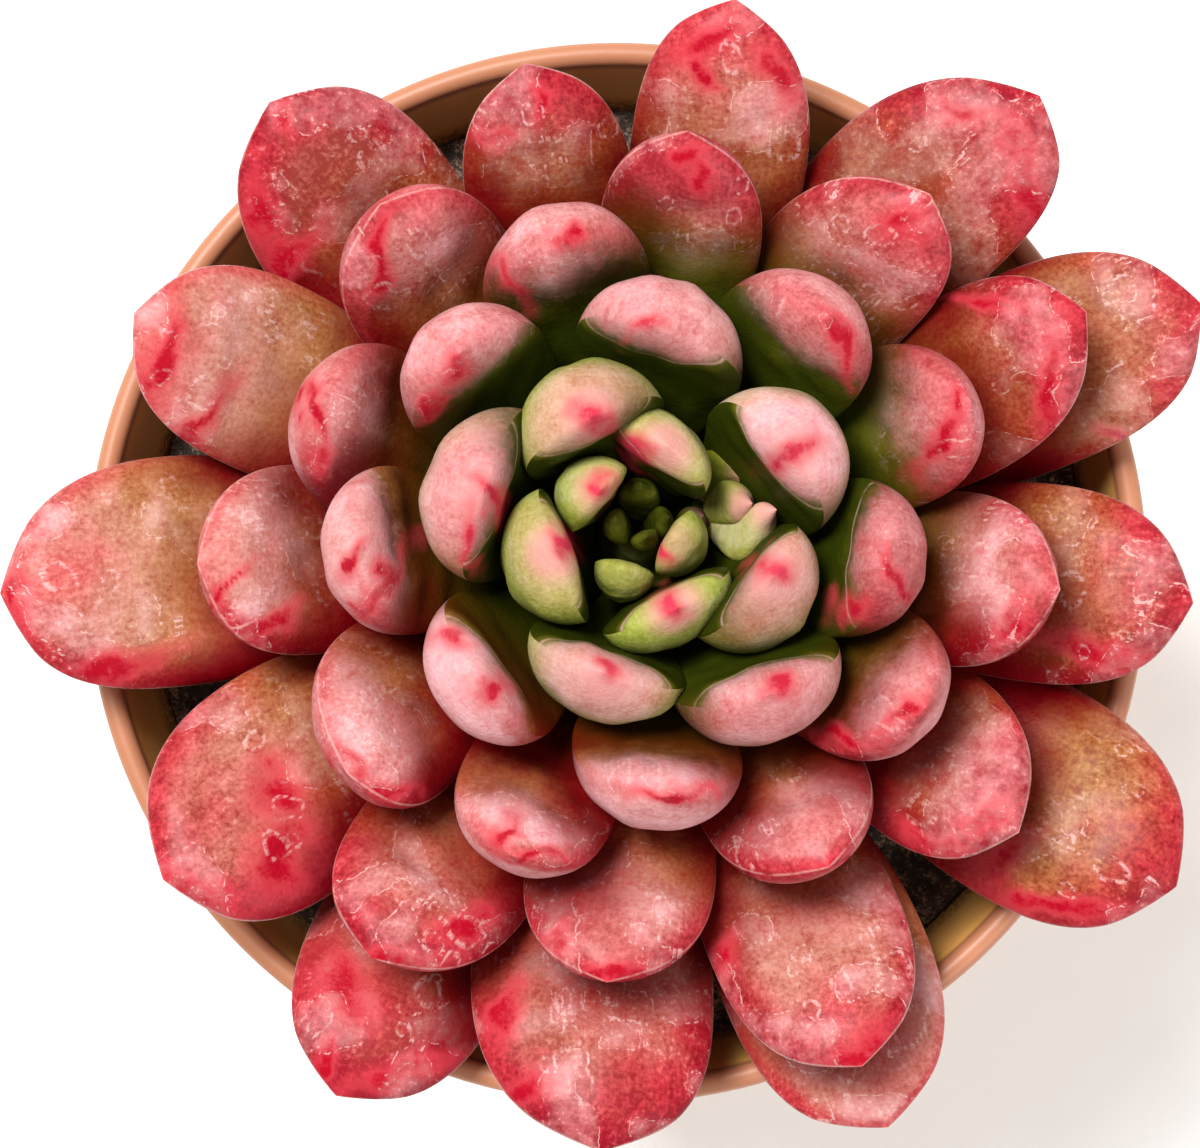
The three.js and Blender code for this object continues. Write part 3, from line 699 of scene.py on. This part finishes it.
def leafFinish(name):
    look = leafLook
    f = Finish(name, {"Specular IOR Level": 0.06, "Coat Roughness": 0.38, "Coat IOR": 1.42})
    where = f.place()
    mottle = f.noise(where, pattern["mottle"], 4, 0.65)
    grain = f.noise(where, pattern["grain"], 2, 0.6)
    skin = f.root.make("UVMap", {"uv_map": "skin"})
    strands = f.root.make("VectorMath", {"operation": "DIVIDE"}, {0: skin, 1: pattern["fibre"]})
    fibres = f.noise(strands, 1.0, 2, 0.6, unit=1.0)
    lime, contact, olive = f.value("lime"), f.value("contact"), f.value("olive")

    rough = f.value("rough")
    texture = (mottle - 0.5) * 0.85 + (grain - 0.5) * 0.95 + (fibres - 0.5) * 0.35
    shade = f.value("tone") + texture * rough
    ramps = (look[key] for key in ("tan", "red", "milk", "lime", "golden"))
    tan, red, milk, green, golden = (f.ramp(shade, stops) for stops in ramps)

    # The dark root is partly the leaf's own colour and partly painted shade of the recesses; painted shade
    # next to younger leaves pushes it further up the leaf.
    rootward = f.value("rootward") + (mottle - 0.5) * 0.9 + contact * 0.6
    dark = f.blend(olive, look["shadedWine"], look["shadedMoss"])
    # Painted shadow: deep red next to younger leaves, most on the lower side as seen, not in olive or lime.
    nearShadow = (contact.atLeast(0.0) ** 0.35).rise(0.3, 1.0) * (0.35 + f.value("sunken") * 0.65)
    nearShadow = nearShadow * (1 - olive) * (1 - lime)
    # Painted shade: wine or moss wherever a younger leaf is near, less on lime leaves.
    shadow = contact * (1 - lime * 0.7) * (0.35 + mottle)

    ragged = ((mottle - 0.5) * 0.75 + (grain - 0.5) * 0.6) * rough
    blush = f.value("blush") + ragged
    halo = (f.value("blush") ** 0.4 + ragged * 0.4).rise(0.25, 1.0)
    core = f.blend(rough.rise(0.7, 1.0), look["youngCrimson"], look["crimson"])

    powder, drops, veil = f.value("powder"), f.value("drops"), f.value("veil") + (mottle - 0.5) * 0.12
    dust = veil.rise(0.50, 0.64) * (mottle * 1.6 - 0.5)
    flakes = mottle.rise(0.46, 0.60) * grain.rise(0.54, 0.66) * veil.rise(0.40, 0.60)
    outline = (veil - 0.55).size().rise(0.010, 0.002) * fibres.rise(0.46, 0.58)
    ring = drops.rise(0.70, 0.95) * drops.rise(1.25, 1.03)
    ring = ring * fibres.rise(0.40, 0.60) * grain.rise(0.35, 0.55)
    marks = (dust * 0.35).atLeast(flakes * 0.42).atLeast(outline * 0.6).atLeast(ring * 0.5) * powder
    marks = marks * rootward.rise(1.0, 0.0) * (1 - contact)
    line = f.value("edge").size().rise(0.20, 0.04) * rootward.rise(0.9, 0.2)

    layers = [
        (f.value("ruddy"), red),
        (f.value("milky"), milk),
        (lime, green),
        (f.value("flush") * 0.85, look["flush"]),
        (rootward.rise(-1.4, 0.5), f.blend(olive, golden, look["oliveGreen"])),
        (f.value("band") * 0.9, red),
        (rootward.rise(0.4, 2.2), dark),
        (nearShadow * 0.8, look["shadowRed"]),
        (shadow.rise(0.0, 0.85) * 0.95, dark),
        (halo * 0.8, look["halo"]),
        (blush.rise(0.5, 0.95) * 0.95, core),
        (marks, look["bloom"]),
        (line * mottle.rise(0.30, 0.55) * 0.45, look["line"]),
    ]
    colour = tan
    for share, over in layers:
        colour = f.blend(share, colour, over)

    normal = f.bump(grain * 0.4 + mottle * 0.8, 0.5, look["bumpHeight"])
    roughness = 0.42 + marks * 0.3 + (grain - 0.5) * 0.25
    coat = 0.42 * rootward.rise(1.2, 0.0) * (1 - contact) * blush.rise(0.9, 0.1)
    coat = coat * (1 - f.value("ruddy") * 0.5)
    return f.finish(colour, roughness, normal, coat)


roseSkin = leafFinish("roseSkin")
greenSkin = leafFinish("greenSkin")
print("leaf skins made")

# The leaves are made from the youngest out, so that each knows the younger ones that touch it; younger
# gathers every ninth point of their outer faces.
greenPlaces = 6
younger = np.zeros((0, 3))
for number, row in enumerate(leafRows, start=1):
    leaf = spiralLeaf(*row)
    points, grid = leafSurface(leaf)
    quads, triangles = ringFaces(leaf["rings"], leaf["sides"])
    skin = np.stack([grid["skinX"], grid["skinY"]], -1)
    node = f"leaf_{number:02d}"
    fields = leafFields(leaf, points, grid, younger)
    younger = np.concatenate([younger, points[(grid["along"] > 0.4) & (grid["rimward"] <= 0)][::9]])
    piece = meshObject(f"skin_{node}", points, quads, triangles, fields, skin)
    isGreen = number <= greenPlaces
    dress(piece, greenSkin if isGreen else roseSkin, "leaf_green" if isGreen else "leaf_rose", node)
print("leaves made:", len(leafRows))


# The heart and the side bud: tiny leaves of the same form, each set about an axis of its own. The rows
# are azimuth, reach, height, width, thickness and bow. Shades are painted shade that darkens the leaves,
# and tones pale them, in the order of the rows; the side bud's last ones are its stalk's.
heart = {
    "rows": [
        [88, 3, 26.6, 3.4, 2.6, 0],
        [190, 1.9, 28.2, 2.9, 2.1, 0],
        [292, 1.5, 27.4, 2.4, 1.8, 0],
        [10, 2.4, 25.6, 2.6, 1.8, 0],
    ],
    "shades": [2.1, 1.9, 1.9, 2.2],
    "tones": [-0.3] * 4,
    "flush": 0.0,
    "root": (0.3, 20.6),
    "offset": (0, 0.8),
    "rings": 36,
    "sides": 32,
}
sideBud = {
    "rows": [
        [0, 6.4, 28.6, 3.8, 3.2, -1.9],
        [7, 4.6, 27.6, 3.6, 2.8, 0.7],
        [16, 7, 25.6, 3.6, 2.4, 1.2],
        [36, 6.2, 25.8, 3.3, 2.4, 2.1],
    ],
    "shades": [0.0, 0.6, 1.4, 1.1, 1.5],
    "tones": [0.25, -0.15, -0.5, -0.4, -0.4],
    "flush": 1.0,
    "root": (0.4, 21),
    "offset": (4.3, 1.5),
    "stalk": [16, 5.4, 24, 2.6, 2.2, 0],
    "stalkRoot": (2.7, 17.4),
    "rings": 40,
    "sides": 36,
}


def smallLeaf(kind, row, root, offset):
    azimuth, reach, height, width, thick, bow = row
    axis = (plant["stem"][0] + offset[0], plant["stem"][1] + offset[1])
    sizes = {"reach": reach, "height": height, "width": width, "thick": thick, "bow": bow, "root": root}
    grids = {"rings": kind["rings"], "sides": kind["sides"], "mucro": plant["mucroLength"]}
    plain = {"belly": 0.0, "roll": 0.0, "curl": 0.0}
    return {"place": 0, "azimuth": azimuth, "axis": axis, **plain, **sizes, **grids}


def joinedLeaves(name, kind, material):
    leaves = [smallLeaf(kind, row, kind["root"], kind["offset"]) for row in kind["rows"]]
    if "stalk" in kind:
        leaves.append(smallLeaf(kind, kind["stalk"], kind["stalkRoot"], (0, 0)))
    parts, allFields = [], []
    first = 0
    for leaf, shade, tone in zip(leaves, kind["shades"], kind["tones"]):
        points, grid = leafSurface(leaf)
        fields = leafFields(leaf, points, grid)
        fields["flush"] = kind["flush"] * (1 - smoothRise(grid["tipward"], 0.3, 2.6))
        fields["tone"] = fields["tone"] + tone
        fields["lime"] = fields["lime"] * 0.88
        # Painted shade: each small leaf's shade adds to its painted shade next to younger leaves.
        fields["contact"] = fields["contact"] + shade
        fields["milky"] = fields["milky"] * 0
        allFields.append(fields)
        skin = np.stack([grid["skinX"], grid["skinY"]], -1)
        parts.append((points, *ringFaces(leaf["rings"], leaf["sides"], first), skin))
        first += len(points)
    fields = {key: np.concatenate([part[key] for part in allFields]) for key in allFields[0]}
    points, quads, triangles, skin = (np.concatenate(part) for part in zip(*parts))
    piece = meshObject(name, points, quads, triangles, fields, skin)
    return dress(piece, material, "leaf_green", name.removeprefix("skin_"))


joinedLeaves("skin_heart", heart, greenSkin)
joinedLeaves("skin_side_bud", sideBud, greenSkin)
print("heart and side bud made")


# A profile of [radius, height] points turned about the vertical, closed by a point on the axis at
# either end. Points along it are given in order from the bottom middle, round the outside, to the top.
def turnedSurface(profile, sides):
    profile = np.array(profile, float)
    angle = 2 * np.pi * np.arange(sides) / sides
    radius, height = profile[:, 0:1], profile[:, 1:2]
    rings = np.stack([radius * np.cos(angle), radius * np.sin(angle), height + 0 * angle], -1)
    points = rings.reshape(-1, 3)
    poles = np.array([[0, 0, profile[0, 1]], [0, 0, profile[-1, 1]]])
    return np.concatenate([points, poles])


def arc(centreX, centreY, radius, fromDegrees, toDegrees, steps):
    angle = np.radians(np.linspace(fromDegrees, toDegrees, steps + 1))
    return np.stack([centreX + radius * np.cos(angle), centreY + radius * np.sin(angle)], -1)


def straight(start, end, steps):
    return np.linspace(start, end, steps + 1)


# The pot. Its height is that of the frame's own box, and hub is the small radius at which the profile
# stops before the axis.
potLow, potHigh = (np.array(corner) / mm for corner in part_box("pot"))
pot = {
    "rimRadius": 45.0,
    "height": float(potHigh[2] - potLow[2]),
    "lipWidth": 2.0,
    "lipRound": 1.0,
    "lipTurn": 172.5,
    "collarDepth": 13.0,
    "collarStep": 1.3,
    "wall": 2.0,
    "baseRadius": 32.0,
    "floor": 2.4,
    "baseRound": 1.2,
    "hub": 0.5,
    "soilRadius": 41.5,
    "drainRadius": 3.0,
    "drainRing": 19.0,
    "drains": 6,
    "drainSides": 40,
    "sides": 240,
}


def potProfile():
    top, rim, roundness = pot["height"], pot["rimRadius"], pot["lipRound"]
    collarBottom = top - pot["collarDepth"]
    outside = rim - pot["collarStep"]
    hub, floor = pot["hub"], pot["floor"]
    baseRadius, baseRound, inner = pot["baseRadius"], pot["baseRound"], pot["baseRadius"] - pot["wall"]
    lip = arc(rim - roundness, top - roundness, roundness, 0, pot["lipTurn"], 20)
    return np.concatenate([
        straight((hub, 0), (baseRadius - baseRound - hub, 0), 6),
        arc(baseRadius - baseRound, baseRound, baseRound, -90, -5, 8),
        straight((baseRadius + 0.05, baseRound + 0.5), (outside - 0.3, collarBottom - 0.4), 30),
        arc(outside + 0.1, collarBottom - 0.3, 0.35, 180, 90, 4),
        arc(rim - 0.7, collarBottom + 0.6, 0.6, -90, 0, 6),
        straight((rim - 0.06, collarBottom + 1.2), (rim, top - roundness - 0.3), 8),
        lip,
        straight(lip[-1], (pot["soilRadius"], plant["soilHeight"]), 12)[1:],
        straight((pot["soilRadius"] - 0.2, plant["soilHeight"] - 1), (inner, floor + baseRound), 14),
        straight((inner - baseRound, floor), (hub, floor), 6),
    ])


# Moulded plastic: an even orange-brown with faint blotches and a paler lip. The golden colour of the
# inside is painted light: the same plastic made brighter where light reaches the inner wall. It and the
# soil dust of the inside go by radius and height alone, so the outer wall below the collar has them too.
potLook = {
    "wallColour": (0.42, 0.15, 0.055),
    "lipColour": (0.40, 0.165, 0.085),
    "insidePaintedLight": (0.98, 0.50, 0.13),
    "dust": (0.12, 0.06, 0.03),
    "lipBand": 1.6,
    "dustHeight": 2.5,
}


def potFinish():
    look = potLook
    f = Finish("pottedPlastic", {"Specular IOR Level": 0.35})
    where = f.place()
    x, y, z = f.parts(where)
    height = z / mm
    radius = (x * x + y * y) ** 0.5 / mm
    broad = f.noise(where, 14, 3)
    fine = f.noise(where, 0.5, 3, 0.6)
    blotch = f.noise(where, 3, 4, 0.6)
    colour = f.blend(broad.rise(0.35, 0.7) * 0.25, look["wallColour"], look["lipColour"])
    lip = height.rise(pot["height"] - look["lipBand"], pot["height"] - 0.3)
    lipInside = pot["rimRadius"] - pot["lipWidth"]
    inside = radius.rise(lipInside + 0.25, lipInside - 0.1) * height.rise(pot["floor"] - 0.5, pot["floor"])
    inside = inside * height.rise(pot["height"] - 0.6, pot["height"] - 2.2)
    # Painted light: the inner wall takes a brighter golden orange in place of the light that falls on it.
    colour = f.blend(inside, colour, look["insidePaintedLight"])
    colour = f.blend(lip * (1 - inside) * (0.75 + blotch * 0.3), colour, look["lipColour"])
    low = height.rise(plant["soilHeight"] + look["dustHeight"], plant["soilHeight"])
    dust = (low * (0.45 + blotch * 0.8) * inside).atMost(1.0) * fine.rise(0.3, 0.6)
    colour = f.blend(dust * 0.7, colour, look["dust"])
    normal = f.bump(fine * 0.3 + blotch * 0.5, 0.3, 0.12)
    roughness = 0.42 + dust * 0.4 + (blotch - 0.5) * 0.15
    return f.finish(colour, roughness, normal)


# The drain holes are cylinders taken out of the floor.
def cutDrains(piece):
    turn = 2 * np.pi * (np.arange(pot["drains"]) + 0.5) / pot["drains"]
    sides = pot["drainSides"]
    ends = [[pot["drainRadius"], -pot["floor"]], [pot["drainRadius"], 2 * pot["floor"]]]
    hole = turnedSurface(ends, sides)
    middles = pot["drainRing"] * np.stack([np.cos(turn), np.sin(turn), 0 * turn], -1)
    points = (hole + middles[:, None]).reshape(-1, 3)
    cutter = meshObject("drains", points, *copiedFaces(2, sides, pot["drains"]))
    cut = piece.modifiers.new("drains", "BOOLEAN")
    cut.object = cutter
    graph = bpy.context.evaluated_depsgraph_get()
    mesh = bpy.data.meshes.new_from_object(piece.evaluated_get(graph))
    piece.modifiers.clear()
    piece.data = mesh
    bpy.data.objects.remove(cutter)
    return piece


def makePot():
    profile = potProfile()
    points = turnedSurface(profile, pot["sides"])
    quads, triangles = ringFaces(len(profile), pot["sides"])
    return cutDrains(meshObject("pot_shell", points, quads, triangles))


dress(makePot(), potFinish(), "pot", "pot")
print("pot made")


# Soil: the pot's inside, with a crumbly top. Crumbs of peat and a few pale chips lie on it.
soil = {
    "radius": 41.0,
    "bottom": 2.8,
    "bottomRadius": 28.4,
    "rings": 150,
    "sides": 330,
    "mound": 0.7,
    "edgeDip": 0.3,
    "crumbs": 2600,
    "crumbSize": (0.25, 0.75),
    "crumbFlat": 0.8,
    "chips": 600,
    "chipSize": (0.25, 0.6),
    "chipFlat": 0.5,
    "lumpRings": 3,
    "lumpSides": 6,
}


def soilTop(x, y):
    mound = np.sin(0.31 * x + 1.3) * np.cos(0.27 * y - 0.4) + 0.5 * np.sin(0.6 * (x - y))
    coarse = waves(x, y, 3.0, 9, 3) * 0.22
    medium = waves(x, y, 1.3, 11, 4) * 0.16
    fine = waves(x, y, 0.6, 13, 5) * 0.10
    return plant["soilHeight"] + soil["mound"] * mound / 1.5 + coarse + medium + fine


def makeSoilBody(material):
    low = straight((pot["hub"], soil["bottom"]), (soil["bottomRadius"], soil["bottom"]), 3)
    wallLow = (soil["bottomRadius"] + 0.2, soil["bottom"] + 0.3)
    wall = straight(wallLow, (soil["radius"], plant["soilHeight"] - 0.8), 6)
    topRadii = np.linspace(soil["radius"] - 0.1, 0.6, soil["rings"])
    top = np.stack([topRadii, np.full_like(topRadii, plant["soilHeight"])], -1)
    profile = np.concatenate([low, wall, top])
    points = turnedSurface(profile, soil["sides"])
    isTop = points[:, 2] == plant["soilHeight"]
    x, y = points[isTop, 0], points[isTop, 1]
    inward = smoothRise(np.hypot(x, y), soil["radius"], soil["radius"] - 1.5)
    edgeHeight = plant["soilHeight"] - soil["edgeDip"]
    points[isTop, 2] = edgeHeight + (soilTop(x, y) - edgeHeight) * inward
    quads, triangles = ringFaces(len(profile), soil["sides"])
    piece = meshObject("soil_body", points, quads, triangles)
    return dress(piece, material, "soil", "soil")


# Crumbs: a six-sided lump with three rings between its poles, copied to seeded places and sizes.
def makeCrumbs(name, material, count, sizes, flat, seed):
    draw = np.random.default_rng(seed)
    rings, sides = soil["lumpRings"], soil["lumpSides"]
    polar = np.pi * (np.arange(rings) + 1) / (rings + 1)
    angle = 2 * np.pi * np.arange(sides) / sides
    ball = np.stack([
        np.sin(polar)[:, None] * np.cos(angle),
        np.sin(polar)[:, None] * np.sin(angle),
        -np.cos(polar)[:, None] + 0 * angle,
    ], -1).reshape(-1, 3)
    ball = np.concatenate([ball, [[0, 0, -1], [0, 0, 1]]])
    radius = (soil["radius"] - 0.6) * np.sqrt(draw.uniform(0.02, 1, count))
    turn = draw.uniform(0, 2 * np.pi, count)
    x, y = radius * np.cos(turn), radius * np.sin(turn)
    size = draw.uniform(*sizes, count) / 2
    stretch = draw.uniform(0.6, 1.5, (count, 3)) * np.array([1, 1, flat])
    uneven = draw.uniform(0.75, 1.25, (count, len(ball), 1))
    lumps = ball[None] * uneven * (size[:, None] * stretch)[:, None]
    yaw = draw.uniform(0, 2 * np.pi, count)[:, None]
    lumpX = lumps[..., 0] * np.cos(yaw) - lumps[..., 1] * np.sin(yaw)
    lumpY = lumps[..., 0] * np.sin(yaw) + lumps[..., 1] * np.cos(yaw)
    lumpZ = soilTop(x, y)[:, None] + lumps[..., 2] + 0.05
    points = np.stack([x[:, None] + lumpX, y[:, None] + lumpY, lumpZ], -1).reshape(-1, 3)
    piece = meshObject(name, points, *copiedFaces(rings, sides, count))
    piece.data.materials.append(material)
    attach(piece, "root")
    return piece


soilLook = {
    "peat": (0.052, 0.038, 0.029),
    "earth": (0.40, 0.28, 0.20),
    "chip": (0.62, 0.50, 0.32),
    "chipTones": [(0.35, (0.10, 0.05, 0.02)), (0.5, (0.40, 0.26, 0.12)), (0.65, (0.60, 0.48, 0.30))],
}


def soilFinish():
    f = Finish("peatSoil", {"Specular IOR Level": 0.3})
    where = f.place()
    lumps = f.noise(where, 1.2, 5, 0.7)
    grain = f.noise(where, 0.3, 3, 0.7)
    colour = f.blend(lumps.rise(0.46, 0.66) * grain.rise(0.38, 0.6), soilLook["peat"], soilLook["earth"])
    specks = f.root.make("TexVoronoi", (), {"Vector": where, "Scale": 1 / (0.9 * mm)})
    pick = f.noise(where, 1.4, 1)
    pale = specks.rise(0.22, 0.12) * pick.rise(0.56, 0.60)
    colour = f.blend(pale * 0.8, colour, soilLook["chip"])
    normal = f.bump(lumps * 0.6 + grain * 0.6, 0.9, 0.3)
    return f.finish(colour, 0.75 + grain * 0.2, normal)


def chipFinish():
    f = Finish("paleChips", {"Specular IOR Level": 0.3})
    where = f.place()
    tone = f.noise(where, 0.8, 3, 0.6)
    return f.finish(f.ramp(tone, soilLook["chipTones"]), 0.7 + tone * 0.2, f.bump(tone, 0.5, 0.1))


peat = soilFinish()
makeSoilBody(peat)
makeCrumbs("soil_crumbs", peat, soil["crumbs"], soil["crumbSize"], soil["crumbFlat"], 11)
makeCrumbs("soil_chips", chipFinish(), soil["chips"], soil["chipSize"], soil["chipFlat"], 12)
print("soil made")


# The stem: rings of [radius, height above the soil] that lean with the plant, with leaf scars as waves.
stem = {
    "profile": [[3, -16], [3.6, -2], [4.6, 4], [4.7, 7], [3.4, 14], [2.1, 18.2], [1.5, 20]],
    "rings": 60,
    "sides": 56,
    "scar": 0.03,
    "barkDark": (0.06, 0.035, 0.02),
    "barkPale": (0.16, 0.09, 0.045),
    "youngDark": (0.10, 0.11, 0.015),
    "youngPale": (0.22, 0.22, 0.04),
}


def makeStem(material):
    radii, heights = zip(*stem["profile"])
    height = np.linspace(heights[0], heights[-1], stem["rings"])
    radius = np.interp(height, heights, radii)
    points = turnedSurface(np.stack([radius, height], -1), stem["sides"])
    angle = np.arctan2(points[:, 1], points[:, 0])
    scars = 1 + stem["scar"] * np.sin(3 * angle + 2.2 * points[:, 2])
    for axis in (0, 1):
        leaning = plant["stem"][axis] + plant["lean"][axis] * points[:, 2]
        points[:, axis] = points[:, axis] * scars + leaning
    points[:, 2] += plant["soilHeight"]
    quads, triangles = ringFaces(stem["rings"], stem["sides"])
    piece = meshObject("stem_core", points, quads, triangles)
    return dress(piece, material, "stem", "stem")


def stemFinish():
    f = Finish("stemBark", {"Specular IOR Level": 0.4})
    where = f.place()
    tone = f.noise(where, 2, 4, 0.6)
    z = f.parts(where)[2]
    high = z.rise((plant["soilHeight"] - 2) * mm, (plant["soilHeight"] + 12) * mm)
    young = f.blend(tone.rise(0.35, 0.7), stem["youngDark"], stem["youngPale"])
    old = f.blend(tone.rise(0.35, 0.7), stem["barkDark"], stem["barkPale"])
    return f.finish(f.blend(high, old, young), 0.55 + tone * 0.3, f.bump(tone, 0.5, 0.2))


makeStem(stemFinish())
print("stem made")


# The floor and the light: a pale floor, an even pale sky, a large soft light at the top left and a
# weak one opposite.
studio = {
    "floorSize": 3000.0,
    "floorColour": (0.94, 0.94, 0.94),
    "skyStrength": 0.52,
    "skyColour": (1.0, 0.99, 0.98),
    "aim": (0, 0, 80),
    "lights": [
        {"name": "keyLight", "place": (-270, 300, 860), "size": 320, "power": 13.5},
        {"name": "fillLight", "place": (520, -420, 600), "size": 500, "power": 3.5},
    ],
}


def makeFloor():
    half = studio["floorSize"] / 2
    points = np.array([[-half, -half, 0], [half, -half, 0], [half, half, 0], [-half, half, 0]], float)
    floor = meshObject("floor", points, np.array([[0, 1, 2, 3]]), np.zeros((0, 3), int))
    f = Finish("paleFloor", {"Specular IOR Level": 0.2})
    tone = f.noise(f.place(), 60, 2)
    pale = studio["floorColour"]
    colour = f.blend(tone * 0.1, pale, tuple(0.97 * c for c in pale))
    floor.data.materials.append(f.finish(colour, 0.8 + tone * 0.1))


def makeLights():
    world = bpy.data.worlds.new("sky")
    world.use_nodes = True
    background = world.node_tree.nodes["Background"]
    background.inputs[0].default_value = (*studio["skyColour"], 1.0)
    background.inputs[1].default_value = studio["skyStrength"]
    bpy.context.scene.world = world
    target = Vector(studio["aim"]) * mm
    for light in studio["lights"]:
        data = bpy.data.lights.new(light["name"], "AREA")
        data.energy = light["power"]
        data.size = light["size"] * mm
        lamp = bpy.data.objects.new(light["name"], data)
        bpy.context.scene.collection.objects.link(lamp)
        lamp.location = Vector(light["place"]) * mm
        lamp.rotation_mode = "QUATERNION"
        lamp.rotation_quaternion = (target - lamp.location).to_track_quat("-Z", "Y")
    bpy.context.scene.view_settings.view_transform = "Standard"


makeFloor()
makeLights()
print("floor and lights made")
